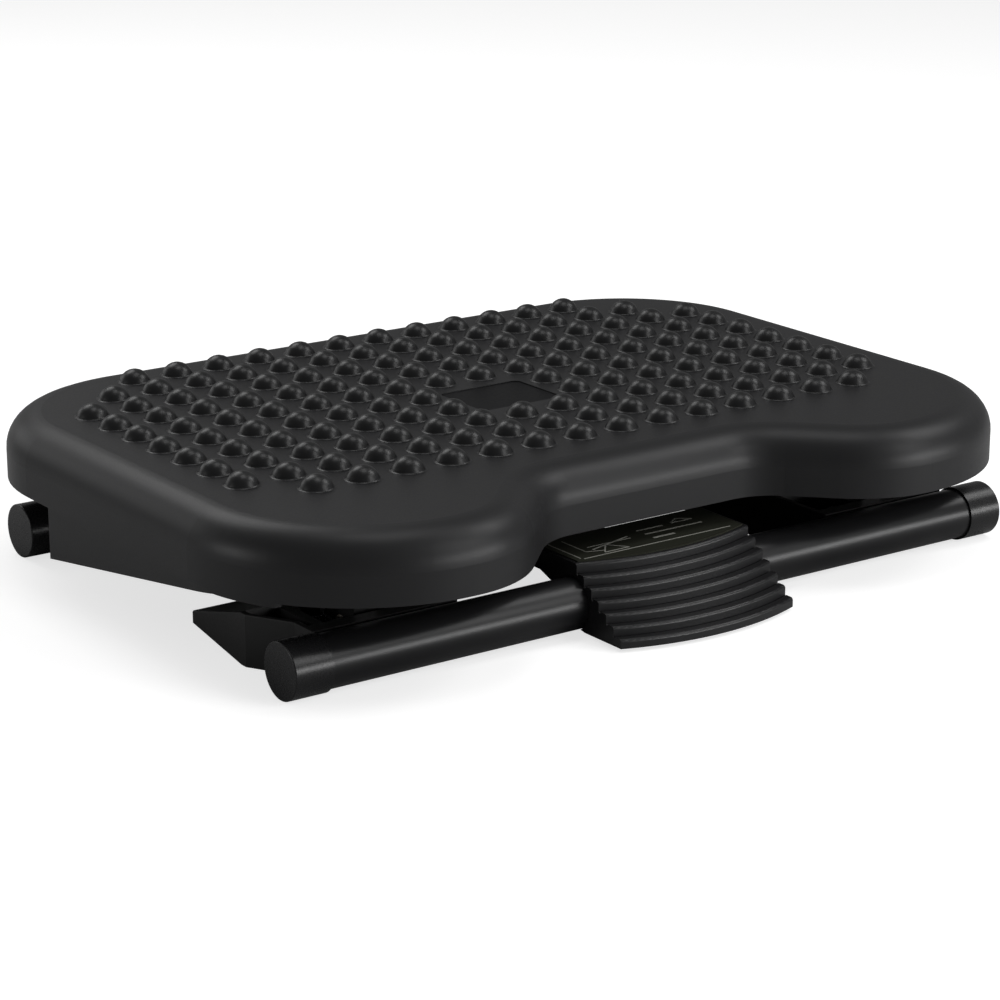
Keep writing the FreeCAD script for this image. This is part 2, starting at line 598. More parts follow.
def make_inner_frame():
    ring_out = helper_body("frame_outline")
    outline_pad(ring_out, frame_inset, "frame_z", frame_height)
    ring_in = helper_body("frame_opening")
    outline_pad(ring_in, frame_inset + " + frame_wall", "frame_z - 1", frame_height + " + 2")
    ring = boolean("Cut", "frame_ring", ring_out, [ring_in])
    ribs = []
    low, high = "frame_z", "top_z - skin"
    across = ["boss_y_rear", "boss_y_front", "(boss_y_rear + boss_y_front) / 2", "flange_front_y",
              "flange_rear_y - 30"]
    for i, y in enumerate(across):
        ribs.append(box("rib_across_%d" % i, ("-half_width", y + " - frame_wall / 2", low),
                        ("half_width", y + " + frame_wall / 2", high)))
    reaches = ["boss_x_inner / 2", "boss_x_inner", "(boss_x_inner + bumper_x) / 2", "bumper_x",
               "boss_x_outer"]
    along = ["0"] + [sided(side, reach) for side in (-1, 1) for reach in reaches]
    for i, x in enumerate(along):
        ribs.append(box("rib_along_%d" % i, (x + " - frame_wall / 2", "lobe_y", low),
                        (x + " + frame_wall / 2", "rear_y", high)))
    rib_grid = boolean("MultiFuse", "rib_grid", ribs[0], ribs[1:])
    ribs_inside = boolean("MultiCommon", "ribs_inside", rib_grid, [ring_out])
    extras = []
    for i, (x, y) in enumerate(boss_places):
        extras.append(cylinder("post_%d" % i, "post_r", frame_height, (x, y, "frame_z")))
    pad_top = "frame_z + pad_height"
    for side in (-1, 1):
        near, far = "flange_in_x - 2", "flange_in_x + flange_width + 2"
        x_low, x_high = (near, far) if side > 0 else ("-(%s)" % far, "-(%s)" % near)
        extras.append(box("hinge_pad_%d" % side, (x_low, "flange_front_y", "frame_z"),
                          (x_high, "flange_rear_y", pad_top)))
        extras.append(cylinder("bumper_post_%d" % side, "bumper_post_r",
                               "top_z - skin - arm_top_z - bumper_gap - bumper_height",
                               (sided(side, "bumper_x"), "bumper_y", "arm_top_z + bumper_gap + bumper_height")))
        for end in ("rear", "front"):
            extras.append(cylinder("tab_post_%d_%s" % (side, end), "head_r + frame_wall", frame_height,
                                   (sided(side, "tab_screw_x"), "tab_y_%s + tab_length / 2" % end, "frame_z")))
    extras.append(box("sector_pad", ("-sector_flange_half - 2", "sector_flange_front - 2", "frame_z"),
                      ("sector_flange_half + 2", "sector_flange_rear + 2", pad_top)))
    frame = boolean("MultiFuse", "frame_full", ring, [ribs_inside] + extras)
    trimmed = boolean("MultiCommon", "frame_trimmed", frame, [frame_limit()])
    holes = []
    for i, (x, y) in enumerate(boss_places):
        holes.append(cylinder("boss_hole_%d" % i, "boss_r + boss_fit", "boss_length + boss_fit + 1",
                              (x, y, "top_z - skin - boss_length - boss_fit")))
        holes.append(cylinder("through_%d" % i, "screw_hole_r", frame_height, (x, y, "frame_z")))
        holes.append(cylinder("counterbore_%d" % i, "head_r + boss_fit", "counterbore",
                              (x, y, "frame_z")))
    for i, (x, y) in enumerate(flange_screws()):
        holes.append(cylinder("flange_hole_%d" % i, "screw_r", "pad_height - 1 + 1", (x, y, "frame_z - 1")))
    for i, (x, y) in enumerate(sector_screws()):
        holes.append(cylinder("sector_hole_%d" % i, "screw_r", "pad_height - 1 + 1", (x, y, "frame_z - 1")))
    for i, (x, y) in enumerate(tab_screws()):
        holes.append(cylinder("tab_hole_%d" % i, "screw_r", "pad_height - 1 + 1", (x, y, "frame_z - 1")))
    keep("inner_frame", boolean("Cut", "inner_frame", trimmed, holes))


def frame_limit():
    """The space under the shell that the frame and its bumper posts may fill."""
    limit = helper_body("frame_limit")
    outline_pad(limit, frame_inset, "0", "top_z - skin")
    return limit


def flange_screws():
    places = []
    for side in (-1, 1):
        for x in ("flange_in_x + flange_edge", "flange_in_x + flange_width - flange_edge"):
            for y in ("flange_front_y + flange_edge", "flange_rear_y - flange_edge"):
                places.append((sided(side, x), y))
    return places


def sector_screws():
    return [("%s * (sector_flange_half - flange_edge + 0.5)" % sign, y) for sign in ("-1", "1")
            for y in ("sector_flange_front + flange_edge", "sector_flange_rear - flange_edge")]


def tab_screws():
    return [(sided(side, "tab_screw_x"), "tab_y_%s + tab_length / 2" % end) for side in (-1, 1)
            for end in ("rear", "front")]


# Side cheeks: wedge shaped walls that follow the inside of the skirt and close the gap under it

def cheek_ring():
    outer = helper_body("cheek_outer")
    outline_pad(outer, "skin + cheek_gap", "cheek_low_z", "cheek_top_z - cheek_low_z")
    inner = helper_body("cheek_inner")
    outline_pad(inner, "skin + cheek_gap + cheek_wall", "cheek_low_z - 1", "cheek_top_z - cheek_low_z + 2")
    return boolean("Cut", "cheek_ring", outer, [inner])


def make_side_cheek(label, side, ring):
    wedge = helper_body(label + "_wedge")
    start = "-half_width - 1" if side < 0 else "half_width - 60"
    sketch = sketch_on(wedge, "YZ_Plane", start, "wedge")
    polygon(sketch, [("cheek_rear_y", "cheek_low_z"), ("cheek_rear_y", "cheek_top_z"),
                     ("cheek_front_y", "cheek_top_z"), ("cheek_front_y", "cheek_front_z"),
                     ("cheek_knee_y", "cheek_front_z")])
    pad(wedge, sketch, "61", "wedge_pad")
    wall = boolean("MultiCommon", label + "_wall", ring, [wedge])
    face_in = "half_width - skin - cheek_gap - cheek_wall + 0.5"
    pieces = []
    for end in ("rear", "front"):
        near, far = "half_width - skin - cheek_gap - tab_reach", face_in
        x_low, x_high = (near, far) if side > 0 else ("-(%s)" % far, "-(%s)" % near)
        pieces.append(box(label + "_tab_" + end, (x_low, "tab_y_" + end, "frame_z - cheek_wall"),
                          (x_high, "tab_y_%s + tab_length" % end, "frame_z")))
    near, far = "half_width - skin - cheek_gap - cheek_return", face_in
    x_low, x_high = (near, far) if side > 0 else ("-(%s)" % far, "-(%s)" % near)
    pieces.append(box(label + "_return", (x_low, "cheek_rear_y - cheek_wall", "cheek_low_z"),
                      (x_high, "cheek_rear_y", "skirt_z")))
    whole = boolean("MultiFuse", label + "_whole", wall, pieces)
    holes = [cylinder("%s_hole_%s" % (label, end), "screw_hole_r", "cheek_wall + 2",
                      (sided(side, "tab_screw_x"), "tab_y_%s + tab_length / 2" % end,
                       "frame_z - cheek_wall - 1"))
             for end in ("rear", "front")]
    keep(label, boolean("Cut", label, whole, holes))


# Hinge arms: from a flange under the inner frame down to the tilt axis

def make_hinge_arm(label, side):
    body = new_body(label)
    web_start = "lug_x" if side > 0 else "-lug_x - lug_width"
    web = sketch_on(body, "YZ_Plane", web_start, "web")
    polygon(web, [("hinge_y - lug_r", "hinge_z"), ("flange_front_y + 4", "frame_z - flange_height"),
                  ("flange_rear_y - 4", "frame_z - flange_height"), ("hinge_y + lug_r", "hinge_z")])
    pad(body, web, "lug_width", "web_pad")
    eye = sketch_on(body, "YZ_Plane", web_start, "eye")
    circle(eye, "hinge_y", "hinge_z", "lug_r")
    pad(body, eye, "lug_width", "eye_pad")
    flange = sketch_on(body, "XY_Plane", "frame_z - flange_height", "flange")
    x_low = "flange_in_x" if side > 0 else "-flange_in_x - flange_width"
    rectangle(flange, x_low, x_low + " + flange_width", "flange_front_y", "flange_rear_y")
    pad(body, flange, "flange_height", "flange_pad")
    window = sketch_on(body, "YZ_Plane", web_start + " - 1", "window")
    polygon(window, [("hinge_y - 4", "hinge_z + lug_r + 4"), ("hinge_y - 9", "frame_z - flange_height - 6"),
                     ("hinge_y + 14", "frame_z - flange_height - 6"), ("hinge_y + 5", "hinge_z + lug_r + 4")])
    pocket(body, window, "lug_width + 2", "window_cut")
    bore = sketch_on(body, "YZ_Plane", web_start + " - 1", "bore")
    circle(bore, "hinge_y", "hinge_z", "hinge_pin_r + hinge_play + bush_wall")
    pocket(body, bore, "lug_width + 2", "bore_cut")
    holes = sketch_on(body, "XY_Plane", "frame_z - flange_height - 1", "holes")
    for x, y in flange_screws():
        if (size(x) > 0) == (side > 0):
            circle(holes, x, y, "screw_hole_r")
    pocket(body, holes, "flange_height + 2", "hole_cuts")


def make_hinge_bush(label, side):
    start = "lug_x" if side > 0 else "-lug_x - lug_width"
    outer = cylinder(label + "_outer", "hinge_pin_r + hinge_play + bush_wall", "lug_width",
                     (start, "hinge_y", "hinge_z"), "x")
    inner = cylinder(label + "_bore", "hinge_pin_r + hinge_play", "lug_width + 2",
                     (start + " - 1", "hinge_y", "hinge_z"), "x")
    keep(label, boolean("Cut", label, outer, [inner]))


pin_inner_end = "cheek_in_x - clip_gap - clip_thickness - pin_end"
pin_outer_end = "cheek_out_x + hinge_wall + clip_gap + clip_thickness + pin_end"


def make_hinge_pin(label, side):
    start = pin_inner_end if side > 0 else "-(%s)" % pin_outer_end
    keep(label, cylinder(label, "hinge_pin_r", "(%s) - (%s)" % (pin_outer_end, pin_inner_end),
                         (start, "hinge_y", "hinge_z"), "x"))


def make_hinge_pin_clips():
    clips = []
    for side in (-1, 1):
        for text in ("cheek_in_x - clip_gap - clip_thickness", "cheek_out_x + hinge_wall + clip_gap"):
            near = size(text)
            start = near if side > 0 else -near - size("clip_thickness")
            at = Vector(start, size("hinge_y"), size("hinge_z"))
            ring = Part.makeCylinder(size("clip_r"), size("clip_thickness"), at, Vector(1, 0, 0))
            hole = Part.makeCylinder(size("hinge_pin_r"), size("clip_thickness"), at, Vector(1, 0, 0))
            mouth = Part.makeBox(size("clip_thickness"), size("hinge_pin_r") * 1.4, size("clip_r") * 2,
                                 at - Vector(0, size("hinge_pin_r") * 0.7, size("clip_r") * 2 + 1))
            clips.append(ring.cut(hole).cut(mouth))
    solid_group("hinge_pin_clips", clips)


# Floor tubes and their end caps

def make_tube(label, y, screw_side, screw_xs):
    outer = cylinder(label + "_outer", "tube_r", "2 * tube_half", ("-tube_half", y, "axle_z"), "x")
    bore = cylinder(label + "_bore", "tube_r - tube_wall", "2 * tube_half + 2",
                    ("-tube_half - 1", y, "axle_z"), "x")
    cuts = [bore]
    for i, x in enumerate(screw_xs):
        start = y if screw_side > 0 else y + " - tube_r - 1"
        cuts.append(cylinder("%s_hole_%d" % (label, i), "screw_hole_r", "tube_r + 1",
                             (x, start, "axle_z"), "y"))
    keep(label, boolean("Cut", label, outer, cuts))


def make_cap(label, side, y):
    outside = helper_body(label + "_cup")
    sketch = sketch_on(outside, "YZ_Plane", sided(side, "tube_half + cap_end - cap_length")
                       if side > 0 else "-tube_half - cap_end", "cup")
    circle(sketch, y, "axle_z", "tube_r + cap_wall")
    pad(outside, sketch, "cap_length", "cup_pad")
    face = size("tube_half + cap_end") * side

    def end_rim(edge):
        return abs(edge.BoundBox.XMin - face) < 1e-6 and abs(edge.BoundBox.XMax - face) < 1e-6
    fillet(outside, end_rim, "cap_wall * 0.6", "soft_end")
    sleeve_start = "tube_half + cap_end - cap_length - 1" if side > 0 else "-tube_half"
    sleeve = cylinder(label + "_sleeve", "tube_r", "cap_length - cap_end + 1",
                      (sleeve_start, y, "axle_z"), "x")
    cup = boolean("Cut", label + "_hollow", outside, [sleeve])
    plug_start = "tube_half - cap_plug" if side > 0 else "-tube_half"
    plug = cylinder(label + "_plug", "tube_r - tube_wall", "cap_plug", (plug_start, y, "axle_z"), "x")
    plug_bore_start = "tube_half - cap_plug - 1" if side > 0 else "-tube_half + 1"
    plug_bore = cylinder(label + "_plug_bore", "tube_r - 3 * tube_wall", "cap_plug",
                         (plug_bore_start, y, "axle_z"), "x")
    plug_ring = boolean("Cut", label + "_plug_ring", plug, [plug_bore])
    keep(label, boolean("MultiFuse", label, cup, [plug_ring]))


# Base arms: open trays behind the front tube, each with an ear and a rail to the rear tube

def make_base_arm(label, side):
    body = new_body(label)

    def at(x, y):
        return (sided(side, x), y)
    front = "front_tube_y + saddle_open"
    rear = "rear_tube_y - saddle_open"
    rail_x = "arm_inner_x + rail_width"
    plan = sketch_on(body, "XY_Plane", "arm_low_z", "plan")
    polygon(plan, [at("arm_inner_x", front), at("arm_waist_x", front), at("arm_waist_x", "waist_y"),
                   at("arm_outer_x", "ear_front_y"), at("arm_outer_x", "ear_rear_y"),
                   at(rail_x, "ear_rear_y"), at(rail_x, rear), at("arm_inner_x", rear)])
    pad(body, plan, "arm_top_z - arm_low_z", "block")
    ear_start = rail_x if side > 0 else "-arm_outer_x - 1"
    ear_width = "arm_outer_x - arm_inner_x - rail_width + 1"
    roof = sketch_on(body, "YZ_Plane", ear_start, "roof_slope")
    roof_end = "ear_top_z + (ear_top_z - arm_top_z) / (ear_rear_y - ear_slope_y)"
    polygon(roof, [("ear_slope_y", "arm_top_z"), ("ear_rear_y + 1", roof_end),
                   ("ear_rear_y + 1", "arm_top_z + 1"), ("ear_slope_y", "arm_top_z + 1")])
    pocket(body, roof, ear_width, "roof_cut")
    under = sketch_on(body, "YZ_Plane", ear_start, "under_slope")
    under_end = "ear_under_z + (ear_under_z - arm_low_z) / (ear_rear_y - ear_slope_y)"
    polygon(under, [("ear_slope_y", "arm_low_z"), ("ear_slope_y", "arm_low_z - 1"),
                    ("ear_rear_y + 1", "arm_low_z - 1"), ("ear_rear_y + 1", under_end)])
    pocket(body, under, ear_width, "under_cut")
    inner_x = size("arm_inner_x + rail_width + 1")
    ear_top = size("ear_top_z")

    def upper_rim(edge):
        middle = edge.CenterOfMass
        level = edge.BoundBox.ZLength < size("arm_top_z - ear_top_z") + 1e-3
        lengthwise = edge.BoundBox.YLength > 1e-3
        return level and lengthwise and middle.z > ear_top - 1e-3 and abs(middle.x) > inner_x
    fillet(body, upper_rim, "arm_edge_r", "soft_rim")
    tray = sketch_on(body, "XY_Plane", "arm_low_z + arm_wall", "tray")
    tray_front = "front_tube_y + saddle_back"
    polygon(tray, [at("arm_inner_x + arm_wall", tray_front), at("arm_waist_x - arm_wall", tray_front),
                   at("arm_waist_x - arm_wall", "waist_y - arm_wall / 3"),
                   at("arm_outer_x - arm_wall", "ear_front_y - arm_wall / 3"),
                   at("arm_outer_x - arm_wall", "ear_slope_y"), at("arm_inner_x + arm_wall", "ear_slope_y")])
    pocket(body, tray, "arm_top_z", "tray_cut")
    ear = sketch_on(body, "XY_Plane", "0", "ear_hollow")
    polygon(ear, [at(rail_x, "ear_slope_y + arm_wall"),
                  at("arm_outer_x - arm_wall", "ear_slope_y + arm_wall"),
                  at("arm_outer_x - arm_wall", "ear_rear_y - arm_wall"), at(rail_x, "ear_rear_y - arm_wall")])
    pocket(body, ear, "ear_hollow_z", "ear_hollow_cut")
    rail = sketch_on(body, "XY_Plane", "0", "rail_hollow")
    rail_back = "rear_tube_y - saddle_back"
    polygon(rail, [at("arm_inner_x + arm_wall", "ear_slope_y + arm_wall"),
                   at(rail_x + " - arm_wall", "ear_slope_y + arm_wall"),
                   at(rail_x + " - arm_wall", rail_back), at("arm_inner_x + arm_wall", rail_back)])
    pocket(body, rail, "arm_top_z - arm_wall", "rail_hollow_cut")
    walls = sketch_on(body, "XY_Plane", "arm_low_z + arm_wall / 2", "hinge_walls")
    for x in ("cheek_in_x", "cheek_out_x"):
        polygon(walls, [at(x, tray_front + " - 1"), at(x + " + hinge_wall", tray_front + " - 1"),
                        at(x + " + hinge_wall", "ear_slope_y + 1"), at(x, "ear_slope_y + 1")])
    pad(body, walls, "arm_top_z - arm_low_z - arm_wall / 2 - 1", "hinge_wall_pads")
    x_start = "arm_inner_x - 1" if side > 0 else "-arm_outer_x - 1"
    across = "arm_outer_x - arm_inner_x + 2"
    saddles = sketch_on(body, "YZ_Plane", x_start, "saddles")
    circle(saddles, "front_tube_y", "axle_z", "tube_r")
    circle(saddles, "rear_tube_y", "axle_z", "tube_r")
    pocket(body, saddles, across, "saddle_cuts")
    bore = sketch_on(body, "YZ_Plane", x_start, "pin_bore")
    circle(bore, "hinge_y", "hinge_z", "hinge_pin_r")
    low = "cheek_in_x - 1" if side > 0 else "-cheek_out_x - hinge_wall - 1"
    bore.setExpression("AttachmentOffset.Base.z", linked(low))
    pocket(body, bore, "cheek_out_x - cheek_in_x + hinge_wall + 2", "pin_bore_cut")
    starts = [(sided(side, x), "front_tube_y") for x in arm_screw_xs]
    starts.append((sided(side, "arm_inner_x + rail_width / 2"), "rear_tube_y - saddle_back - 1"))
    holes = [cylinder("%s_screw_hole_%d" % (label, i), "screw_hole_r", "saddle_back + 1",
                      (x, start, "axle_z"), "y")
             for i, (x, start) in enumerate(starts)]
    parts.pop(label)
    whole = boolean("Cut", label + "_drilled", body, holes)
    keep(label, whole)


arm_screw_xs = ("arm_inner_x + rail_width / 2", "(cheek_in_x + cheek_out_x + hinge_wall) / 2")


def make_arm_screws(label, side):
    screws = []
    for x in arm_screw_xs:
        at = Vector(side * size(x), size("front_tube_y + saddle_back"), size("axle_z"))
        screws.append(screw_solid(at, Vector(0, -1, 0), size("saddle_back - tube_r + 6")))
    at = Vector(side * size("arm_inner_x + rail_width / 2"), size("rear_tube_y - saddle_back"),
                size("axle_z"))
    screws.append(screw_solid(at, Vector(0, 1, 0), size("saddle_back - tube_r + 6")))
    solid_group(label, screws)


# Torsion springs on the hinge pins, one leg on the tray's floor and one under the platform

def make_lift_spring(label, side):
    wire, coil, pitch = size("lift_wire_r"), size("lift_coil_r"), size("lift_pitch")
    axis_y, axis_z = size("hinge_y"), size("hinge_z")
    start_x = side * size("lift_coil_x")
    turns = 4
    quarter_turns = 4 * turns
    path = []

    def on_coil(quarter):
        angle = quarter * math.pi / 2
        return Vector(start_x - side * pitch * quarter / 4, axis_y + coil * math.cos(angle),
                      axis_z + coil * math.sin(angle))
    floor_z = size("arm_low_z + arm_wall + lift_seat_gap")
    top_z = size("frame_z - flange_height - lift_seat_gap")
    path.append(Part.makeLine(Vector(start_x, axis_y + coil, floor_z), on_coil(0)))
    for quarter in range(quarter_turns):
        path.append(Part.Arc(on_coil(quarter), on_coil(quarter + 0.5), on_coil(quarter + 1)).toShape())
    last = on_coil(quarter_turns)
    path.append(Part.makeLine(last, Vector(last.x, last.y, top_z)))
    spine = Part.Wire(path)
    ring = Part.Wire(Part.makeCircle(wire, Vector(start_x, axis_y + coil, floor_z), Vector(0, 0, 1)))
    print(label, "least gap between turns", round(pitch - 2 * wire, 2))
    solid_group(label, [Part.Solid(spine.makePipeShell([ring], True, False))])


# Lock bracket: a steel channel from tube to tube that carries the brake lever and the anvil

def make_lock_bracket():
    body = helper_body("lock_bracket_channel")
    front = "front_tube_y + saddle_open"
    rear = "rear_tube_y - saddle_open"
    side = sketch_on(body, "YZ_Plane", "-bracket_half", "side")
    polygon(side, [(front, "bracket_low_z"), (front, "bracket_front_z"),
                   ("bracket_rise_y", "bracket_front_z"), ("bracket_high_y", "bracket_mid_z"),
                   ("seat_wall_y + bracket_wall", "bracket_mid_z"),
                   ("bracket_fall_y", "bracket_rear_z"), (rear, "bracket_rear_z"), (rear, "bracket_low_z")])
    pad(body, side, "2 * bracket_half", "block")
    inside = sketch_on(body, "XY_Plane", "bracket_low_z + bracket_wall", "inside")
    half = "(bracket_half - bracket_wall)"
    rectangle(inside, "-" + half, half, "front_tube_y + saddle_back", "seat_wall_y")
    rectangle(inside, "-" + half, half, "seat_wall_y + bracket_wall", "rear_tube_y - saddle_back")
    pocket(body, inside, "bracket_mid_z", "inside_cut")
    saddles = sketch_on(body, "YZ_Plane", "-bracket_half - 1", "saddles")
    circle(saddles, "front_tube_y", "axle_z", "tube_r")
    circle(saddles, "rear_tube_y", "axle_z", "tube_r")
    pocket(body, saddles, "2 * bracket_half + 2", "saddle_cuts")
    pins = sketch_on(body, "YZ_Plane", "-bracket_half - 1", "pins")
    circle(pins, "lever_y", "lever_z", "small_pin_r")
    circle(pins, anvil_y, anvil_z, "small_pin_r")
    pocket(body, pins, "2 * bracket_half + 2", "pin_cuts")
    holes = [cylinder("bracket_hole_front", "screw_hole_r", "saddle_back + 1",
                      ("0", "front_tube_y", "axle_z"), "y"),
             cylinder("bracket_hole_rear", "screw_hole_r", "saddle_back + 1",
                      ("0", "rear_tube_y - saddle_back - 1", "axle_z"), "y")]
    keep("lock_bracket", boolean("Cut", "lock_bracket", body, holes))


anvil_centre_r = "(rim_in_r - anvil_gap - anvil_depth / 2)"
anvil_y = "hinge_y + %s * cos(brake_angle * 1deg)" % anvil_centre_r
anvil_z = "hinge_z + %s * sin(brake_angle * 1deg)" % anvil_centre_r


def make_bracket_screws():
    front = screw_solid(Vector(0, size("front_tube_y + saddle_back"), size("axle_z")), Vector(0, -1, 0),
                        size("saddle_back - tube_r + 6"))
    rear = screw_solid(Vector(0, size("rear_tube_y - saddle_back"), size("axle_z")), Vector(0, 1, 0),
                       size("saddle_back - tube_r + 6"))
    solid_group("bracket_screws", [front, rear])


def cross_pin(label, y, z):
    keep(label, cylinder(label, "small_pin_r", "2 * bracket_half + 3", ("-bracket_half - 1.5", y, z), "x"))


def make_brake_anvil():
    """A block inside the sector's rim, hung on the anvil pin between the lever's plates."""
    block = box("anvil_block", ("-anvil_half", anvil_y + " - anvil_depth", anvil_z + " - anvil_height / 2"),
                ("anvil_half", anvil_y + " + anvil_depth", anvil_z + " + anvil_height / 2"))
    face = cylinder("anvil_face", "rim_in_r - anvil_gap", "2 * anvil_half + 2",
                    ("-anvil_half - 1", "hinge_y", "hinge_z"), "x")
    front = box("anvil_front", ("-anvil_half - 1", "hinge_y", "0"),
                ("anvil_half + 1", anvil_y + " - anvil_depth / 2", "frame_z"))
    shaped = boolean("MultiCommon", "anvil_shaped", block, [face])
    bore = cylinder("anvil_bore", "small_pin_r", "2 * anvil_half + 2",
                    ("-anvil_half - 1", anvil_y, anvil_z), "x")
    keep("brake_anvil", boolean("Cut", "brake_anvil", shaped, [front, bore]))


# Brake sector: a steel quadrant round the tilt axis, under a flange on the inner frame

def make_brake_sector():
    body = new_body("brake_sector")
    ring = sketch_on(body, "YZ_Plane", "-sector_half", "ring")
    circle(ring, "hinge_y", "hinge_z", "rim_out_r")
    circle(ring, "hinge_y", "hinge_z", "rim_in_r")
    pad(body, ring, "2 * sector_half", "ring_pad")
    waste = sketch_on(body, "YZ_Plane", "-sector_half - 1", "waste")
    reach = "(2 * rim_out_r)"
    polygon(waste, [("hinge_y", "hinge_z"),
                    ("hinge_y + %s * cos(sector_low_angle * 1deg)" % reach,
                     "hinge_z + %s * sin(sector_low_angle * 1deg)" % reach),
                    ("hinge_y + " + reach, "hinge_z - " + reach),
                    ("hinge_y - " + reach, "hinge_z - " + reach),
                    ("hinge_y - " + reach, "hinge_z + " + reach),
                    ("hinge_y + " + reach, "hinge_z + " + reach),
                    ("hinge_y + " + reach, "frame_z"), ("sector_flange_front", "frame_z"),
                    ("sector_flange_front", "hinge_z")])
    pocket(body, waste, "2 * sector_half + 2", "waste_cut")
    flange = sketch_on(body, "XY_Plane", "frame_z - flange_height", "flange")
    rectangle(flange, "-sector_flange_half", "sector_flange_half",
              "sector_flange_front", "sector_flange_rear")
    pad(body, flange, "flange_height", "flange_pad")
    holes = sketch_on(body, "XY_Plane", "frame_z - flange_height - 1", "holes")
    for x, y in sector_screws():
        circle(holes, x, y, "screw_hole_r")
    pocket(body, holes, "flange_height + 2", "hole_cuts")


# Brake lever: two plates that straddle the sector, joined at the shoe and along the long arm

lever_arm = "sqrt((link_y - lever_y) ^ 2 + (link_z - lever_z) ^ 2)"
along_y = "((lever_y - link_y) / %s)" % lever_arm
along_z = "((lever_z - link_z) / %s)" % lever_arm


def slot_corner(run, offset):
    return ("link_y + %s * (%s) - %s * (%s)" % (along_y, run, along_z, offset),
            "link_z + %s * (%s) + %s * (%s)" % (along_z, run, along_y, offset))


def make_brake_lever():
    body = new_body("brake_lever")
    outer = "(lever_gap + lever_plate)"
    side = sketch_on(body, "YZ_Plane", "-" + outer, "side")
    # Round the link pin's end, along the top to the carrier, and back under the pivot
    polygon(side, [("link_y - 6.5", "link_z - 5"), ("link_y - 6.5", "link_z + 3.5"),
                   ("link_y + 1", "link_z + 4.5"), ("lever_y - 44", "lever_z + 13"),
                   ("lever_y - 9", "lever_z + 6"), ("lever_y - 4", "lever_z + 10"),
                   ("carrier_y - carrier_depth", "carrier_top_z"), ("carrier_rear_y", "carrier_top_z"),
                   ("carrier_rear_y", "lever_z + 11"), ("lever_y + 7", "lever_z - 1"),
                   ("lever_y + 4", "lever_z - 6"), ("lever_y - 6", "lever_z - 6"),
                   ("lever_y - 42", "lever_z")])
    pad(body, side, "2 * " + outer, "block")
    gap = sketch_on(body, "XY_Plane", "0", "gap")
    rectangle(gap, "-lever_gap", "lever_gap", "link_y - 10", "lever_y - 62")
    rectangle(gap, "-lever_gap", "lever_gap", "lever_y - 28", "carrier_y")
    pocket(body, gap, "carrier_top_z + 1", "gap_cut")
    under = sketch_on(body, "YZ_Plane", "-lever_gap", "under")
    polygon(under, [("link_y - 10", "0"), ("link_y - 10", "link_z - 2"), ("lever_y - 44", "lever_z + 10.5"),
                    ("lever_y - 26", "lever_z + 6.5"), ("carrier_y + 2", "lever_z + 12"),
                    ("carrier_rear_y + 1", "0")])
    pocket(body, under, "2 * lever_gap", "under_cut")
    slot = sketch_on(body, "YZ_Plane", "-%s - 1" % outer, "slot")
    wide = "(link_pin_r + slot_play)"
    polygon(slot, [slot_corner("-slot_back", "-" + wide), slot_corner("slot_run", "-" + wide),
                   slot_corner("slot_run", wide), slot_corner("-slot_back", wide)])
    pocket(body, slot, "2 * %s + 2" % outer, "slot_cut")
    bore = sketch_on(body, "YZ_Plane", "-%s - 1" % outer, "bore")
    circle(bore, "lever_y", "lever_z", "small_pin_r + pin_play")
    pocket(body, bore, "2 * %s + 2" % outer, "bore_cut")


def make_brake_shoe():
    middle_z = "(hinge_z + rim_out_r * sin(brake_angle * 1deg))"
    block = box("shoe_block", ("-shoe_half", "carrier_y - 14", middle_z + " - shoe_height / 2"),
                ("shoe_half", "carrier_y", middle_z + " + shoe_height / 2"))
    # The rim as the shoe meets it once the lever has turned
    back, up = "(hinge_y - lever_y)", "(hinge_z - lever_z)"
    cosine, sine = "cos(lever_travel * 1deg)", "sin(lever_travel * 1deg)"
    rim_y = "lever_y + %s * %s + %s * %s" % (back, cosine, up, sine)
    rim_z = "lever_z - %s * %s + %s * %s" % (back, sine, up, cosine)
    rim = cylinder("shoe_rim", "rim_out_r + lock_gap", "2 * shoe_half + 2",
                   ("-shoe_half - 1", rim_y, rim_z), "x")
    keep("brake_shoe", boolean("Cut", "brake_shoe", block, [rim]))


# Lock spring: pushes the shoe carrier towards the sector

def make_lock_spring():
    wire, coil, turns = size("spring_wire_r"), size("spring_coil_r"), size("spring_turns")
    start = size("carrier_rear_y + spring_seat_gap") + wire
    end = size("seat_wall_y - spring_seat_gap") - wire
    pitch = (end - start) / turns
    axis_z = size("spring_z")

    def on_coil(quarter):
        angle = quarter * math.pi / 2
        return Vector(coil * math.sin(angle), start + pitch * quarter / 4, axis_z + coil * math.cos(angle))
    path = [Part.Arc(on_coil(i), on_coil(i + 0.5), on_coil(i + 1)).toShape() for i in range(round(4 * turns))]
    spine = Part.Wire(path)
    first = path[0]
    direction = first.tangentAt(first.FirstParameter)
    ring = Part.Wire(Part.makeCircle(wire, on_coil(0), direction))
    print("lock_spring least gap between turns", round(pitch - 2 * wire, 2))
    solid_group("lock_spring", [Part.Solid(spine.makePipeShell([ring], True, False))])


# Pedal: a ridged tread in front of the front tube, a deck over it and hooks behind it

bow_radius = "((pedal_half ^ 2 + pedal_bow ^ 2) / (2 * pedal_bow))"


def bow_at(half_name):
    """How far an arc of the pedal's bow stands out over a strip of this half width."""
    return "(%s - sqrt(%s ^ 2 - %s ^ 2))" % (bow_radius, bow_radius, half_name)


